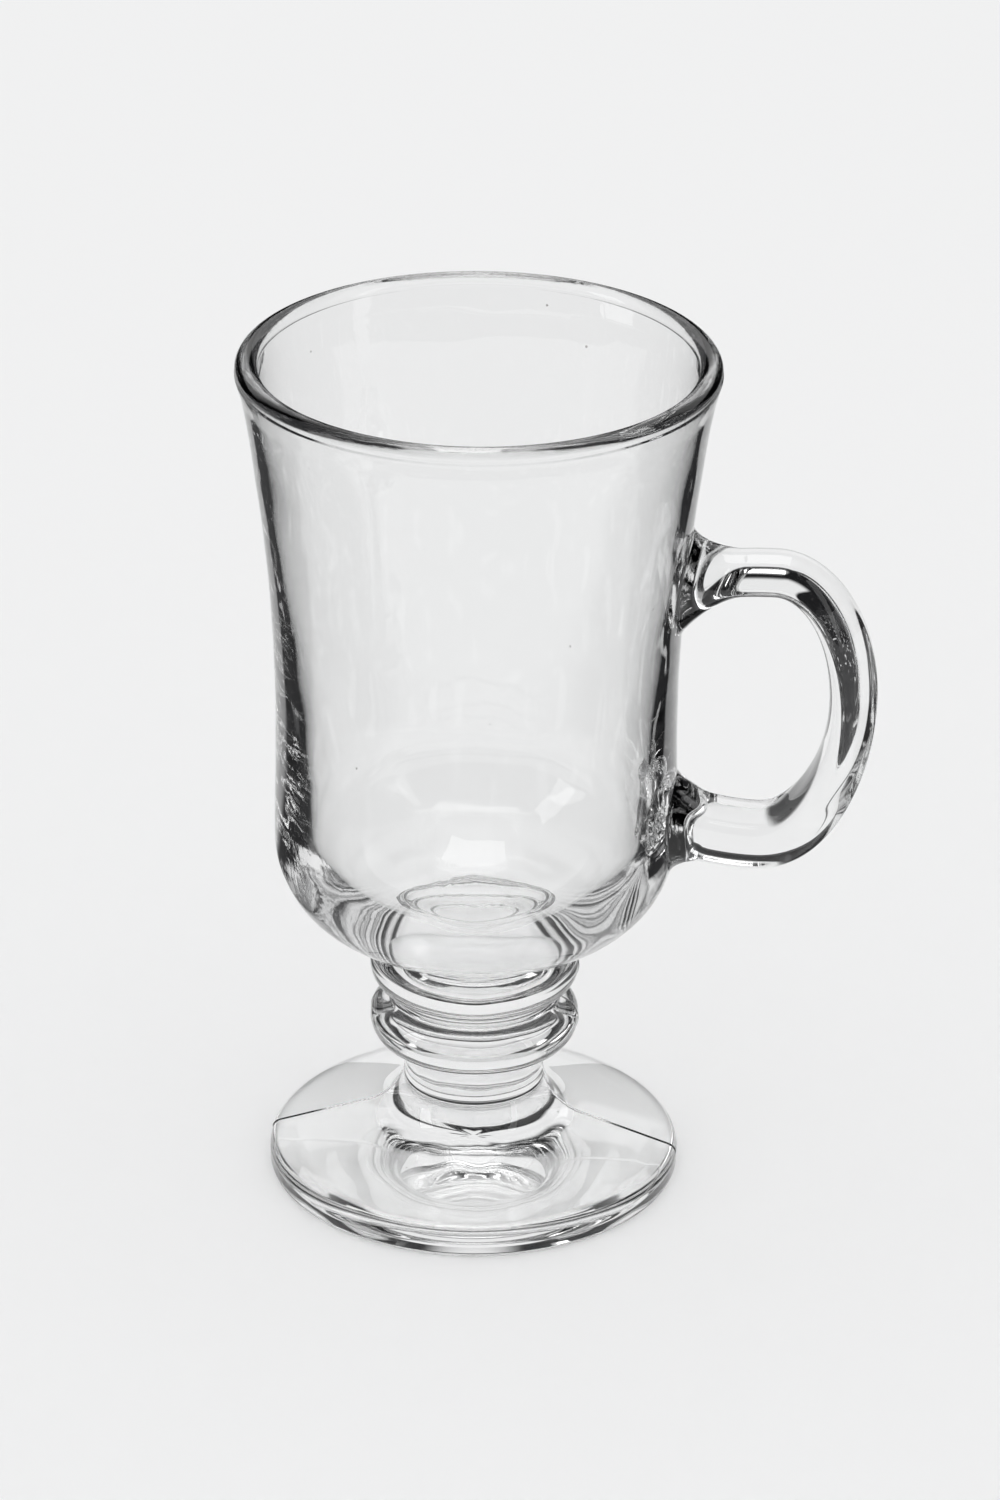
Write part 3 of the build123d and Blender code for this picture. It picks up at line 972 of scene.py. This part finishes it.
def clear_glass(part, inside=0.0):
    """Clear pressed glass, with wrinkles as strong as that part shows them, beyond a radius."""
    name = f"{part}_glass"
    known = bpy.data.materials.get(name)
    if known:
        return known
    look = settings().glass
    made = bpy.data.materials.new(name)
    tree = bare_tree(made)
    wrinkled = {"Strength": CHILL[part], "Inside": inside}
    wrinkles = place(tree, "Group", wrinkled, node_tree=chill_marks())
    handled = {"Polish": look.polish, "Smudge": look.smudge}
    marks = place(tree, "Group", handled, node_tree=handling_marks())
    specks = place(tree, "Group", node_tree=dust_specks())
    tints = {"Factor": specks.outputs["Mask"], "A": (*look.tint, 1), "B": (*look.speck, 1)}
    tint = place(tree, "Mix", tints, data_type="RGBA")
    bump = place(tree, "Bump", {"Height": wrinkles.outputs["Height"], "Distance": look.chill_depth})
    inputs = {
        "Base Color": tint.outputs["Result"],
        "Roughness": marks.outputs["Roughness"],
        "Normal": bump.outputs["Normal"],
        "Metallic": 0.0,
        "Transmission Weight": 1.0,
        "IOR": look.bending,
    }
    glass = place(tree, "BsdfPrincipled", inputs)
    place(tree, "OutputMaterial", {"Surface": glass.outputs[0]})
    return made


def flat_sheet(name, faces, half, material):
    """A mesh of a flat square of one material, with a number of faces along each side."""
    shape = bmesh.new()
    bmesh.ops.create_grid(shape, x_segments=faces, y_segments=faces, size=half)
    mesh = bpy.data.meshes.new(name)
    shape.to_mesh(mesh)
    shape.free()
    mesh.materials.append(material)
    return mesh


class MUG_OT_stage(bpy.types.Operator):
    """Sets the pale floor with its painted dark areas for the glass, the soft studio light and the camera"""

    bl_idname = "mug.stage"
    bl_label = "Stage"

    def execute(self, context):
        look = settings().stage
        self.floor(look)
        self.world(context.scene, look)
        for name, where, size, strength in SOFTBOXES:
            self.softbox(name, where, size, strength)
        self.camera(context.scene, look)
        rays = context.scene.cycles
        rays.max_bounces = BOUNCES
        rays.transmission_bounces = BOUNCES
        rays.glossy_bounces = GLOSSY_BOUNCES
        rays.transparent_max_bounces = BOUNCES
        context.scene.view_settings.view_transform = "Standard"
        return {"FINISHED"}

    def floor(self, look):
        """The sheet of pale paper that the mug stands on, with painted dark areas that only rays turned by
        the glass see.
        """
        paper = bpy.data.materials.new("paper_with_painted_dark")
        tree = bare_tree(paper)
        # Painted shade: a dark diffuse of the room's colour, mixed into the floor where the glass's rays
        # should find it dark
        dark = place(tree, "BsdfDiffuse", {"Color": (*look.room, 1)})
        pale = place(tree, "BsdfDiffuse", {"Color": (*look.paper, 1)})
        mixed = place(tree, "MixShader", {0: self.paleness(tree), 1: dark.outputs[0], 2: pale.outputs[0]})
        place(tree, "OutputMaterial", {"Surface": mixed.outputs[0]})
        floor = put("paper_floor", flat_sheet("paper_floor", FLOOR_FACES, FLOOR_HALF, paper))
        floor.location.z = -FLOOR_GAP

    def paleness(self, tree):
        """How pale the floor is: wholly to the camera, and with painted dark areas, painted shade for the
        glass's reflections and refractions, to rays that the glass turned.
        """
        spot = place(tree, "TexCoord").outputs["Object"]
        part = place(tree, "SeparateXYZ", {0: spot}).outputs
        path = place(tree, "LightPath").outputs
        x, y = part["X"], part["Y"]
        sideways = sums(tree, "ABSOLUTE", x)
        shallow = sums(tree, "LESS_THAN", path["Transmission Depth"], DEEP)

        # Painted dark cards beside and behind the mug, for bent rays
        aside = sums(tree, "ADD", x, product(tree, y, PAINTED_CARD_LEAN))
        left_painted_card = step_between(tree, aside, *PAINTED_LEFT_CARD)
        right_painted_card = step_between(tree, x, *PAINTED_RIGHT_CARD)
        painted_cards_end = step_between(tree, sideways, *PAINTED_CARD_END)
        both = product(tree, sums(tree, "MAXIMUM", left_painted_card, right_painted_card), painted_cards_end)
        painted_cards = sums(tree, "MAXIMUM", both, step_between(tree, y, *FAR_EDGE))
        beside = product(tree, painted_cards, step_between(tree, y, *PAINTED_CARD_START))
        flank = product(
            tree,
            step_between(tree, sideways, *FLANK),
            painted_cards_end,
            step_between(tree, y, *FLANK_START),
            step_between(tree, y, *FLANK_END),
        )
        bent = product(tree, sums(tree, "MAXIMUM", beside, flank), shallow)

        # Painted dark slats with pale gaps near the mug and painted dark flecks further out, for rays
        # mirrored within the glass
        ripple = noise(tree, 420.0, 2.0, {"W": sideways}, noise_dimensions="1D")
        gaps = product(tree, step_between(tree, ripple, *PAINTED_SLAT_GAPS), step_between(tree, sideways, *PAINTED_SLAT_END))
        painted_slats = sums(tree, "SUBTRACT", 1.0, gaps)
        near = product(tree, step_between(tree, sideways, *SIDE), painted_slats)
        painted_flecked = step_between(tree, noise(tree, 40.0, 1.0, {"Vector": spot}), *PAINTED_FLECKS)
        far = step_between(tree, size_of(tree, spot), *PAINTED_FLECK_START)
        outer = place(tree, "Mix", {"Factor": far, "A": near, "B": painted_flecked}).outputs["Result"]
        depths = product(tree, path["Glossy Depth"], path["Transmission Depth"])
        inside = product(tree, sums(tree, "GREATER_THAN", depths, 0.5), outer)
        behind = step_between(tree, y, *BEHIND)
        mirrored = product(tree, inside, sums(tree, "MAXIMUM", shallow, behind))

        # The painted dark is kept from camera rays, so the camera always sees the pale paper
        unseen = sums(tree, "SUBTRACT", 1.0, path["Is Camera Ray"])
        painted_dark = product(tree, sums(tree, "MAXIMUM", bent, mirrored), unseen)
        return sums(tree, "SUBTRACT", 1.0, painted_dark)

    def world(self, scene, look):
        """Soft light all round for the paper, pale backdrop for the camera, dark room for the glass."""
        made = bpy.data.worlds.new("studio")
        made.cycles.sampling_method = "NONE"
        tree = bare_tree(made)
        path = place(tree, "LightPath").outputs
        way = place(tree, "TexCoord").outputs["Generated"]
        part = place(tree, "SeparateXYZ", {0: way}).outputs
        behind = step_between(tree, part["Y"], *SWEEP_BACK)
        low = step_between(tree, part["Z"], *SWEEP_TOP)
        raised = step_between(tree, part["Z"], *SWEEP_FOOT)
        ceiling = step_between(tree, part["Z"], *CEILING)
        sweep = sums(tree, "MAXIMUM", product(tree, behind, low, raised), ceiling)
        pale = (*look.paper, 1)
        room = {"Factor": sweep, "A": (*look.room, 1), "B": pale}
        seen = place(tree, "Mix", room, data_type="RGBA").outputs["Result"]
        softly = sums(tree, "GREATER_THAN", path["Diffuse Depth"], 0.5)
        gathered = step_between(tree, path["Is Diffuse Ray"], 0.0, 1.0, GLASS_LIGHT, PAPER_LIGHT)
        lit = {"Factor": softly, "A": seen, "B": gathered}
        lights = place(tree, "Mix", lit, data_type="RGBA").outputs["Result"]
        shown = {"Factor": path["Is Camera Ray"], "A": lights, "B": pale}
        sky = place(tree, "Mix", shown, data_type="RGBA").outputs["Result"]
        glow = place(tree, "Background", {"Color": sky, "Strength": 1.0})
        place(tree, "OutputWorld", {"Surface": glow.outputs[0]})
        scene.world = made

    def softbox(self, name, where, size, strength):
        """A lit panel that only the glass sees, turned towards the mug."""
        lit = bpy.data.materials.new(name)
        tree = bare_tree(lit)
        glow = place(tree, "Emission", {"Color": (1, 1, 1, 1), "Strength": strength})
        place(tree, "OutputMaterial", {"Surface": glow.outputs[0]})
        lit.cycles.emission_sampling = "NONE"
        mesh = flat_sheet(name, 1, 0.5, lit)
        mesh.transform(Matrix.Diagonal((*size, 1, 1)))
        panel = put(name, mesh)
        panel.location = where
        panel.rotation_mode = "QUATERNION"
        panel.rotation_quaternion = (PANEL_AIM - Vector(where)).to_track_quat("Z", "Y")
        panel.visible_camera = False
        panel.visible_diffuse = False
        panel.visible_shadow = False

    def camera(self, scene, look):
        """The camera at the photograph's angle."""
        lens = bpy.data.cameras.new("camera")
        lens.lens = look.lens
        lens.sensor_width = SENSOR
        camera = put("camera", lens)
        a, e = look.azimuth, look.elevation
        back = Vector((cos(e) * sin(a), -cos(e) * cos(a), sin(e)))
        right = Vector((cos(a), sin(a), 0))
        aim = Vector((0, 0, look.aim_height)) + right * look.aim_right
        camera.location = aim + back * look.distance
        camera.rotation_mode = "QUATERNION"
        camera.rotation_quaternion = (-back).to_track_quat("-Z", "Y") @ Quaternion((0, 0, 1), look.roll)
        scene.camera = camera


class MUG_PT_sidebar(bpy.types.Panel):
    """Lists the mug's pieces, its stage and their settings"""

    bl_label = "Irish coffee mug"
    bl_space_type = "VIEW_3D"
    bl_region_type = "UI"
    bl_category = "Mug"

    def draw(self, context):
        layout = self.layout
        for operator in OPERATORS:
            layout.operator(operator.bl_idname)
        mug = settings()
        for name in ("foot", "stem", "bowl", "handle", "glass", "stage"):
            box = layout.box()
            box.label(text=name.capitalize())
            group = getattr(mug, name)
            for label in group.bl_rna.properties.keys():
                if label not in ("name", "rna_type"):
                    box.prop(group, label)


GROUPS = (MugFoot, MugStem, MugBowl, MugHandle, MugGlass, MugStage, MugSettings)
OPERATORS = (MUG_OT_foot, MUG_OT_rings, MUG_OT_bowl, MUG_OT_handle, MUG_OT_stage)
CLASSES = (*GROUPS, *OPERATORS, MUG_PT_sidebar)


def register():
    for kind in CLASSES:
        bpy.utils.register_class(kind)
    bpy.types.Scene.irish_mug = bpy.props.PointerProperty(
        type=MugSettings, name="Irish coffee mug", description="Sizes and looks of the mug"
    )


def unregister():
    del bpy.types.Scene.irish_mug
    for kind in reversed(CLASSES):
        bpy.utils.unregister_class(kind)


def main():
    """Registers the classes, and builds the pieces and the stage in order."""
    register()
    bpy.ops.mug.foot()
    bpy.ops.mug.rings()
    bpy.ops.mug.bowl()
    bpy.ops.mug.handle()
    bpy.ops.mug.stage()


if __name__ == "__main__":
    main()
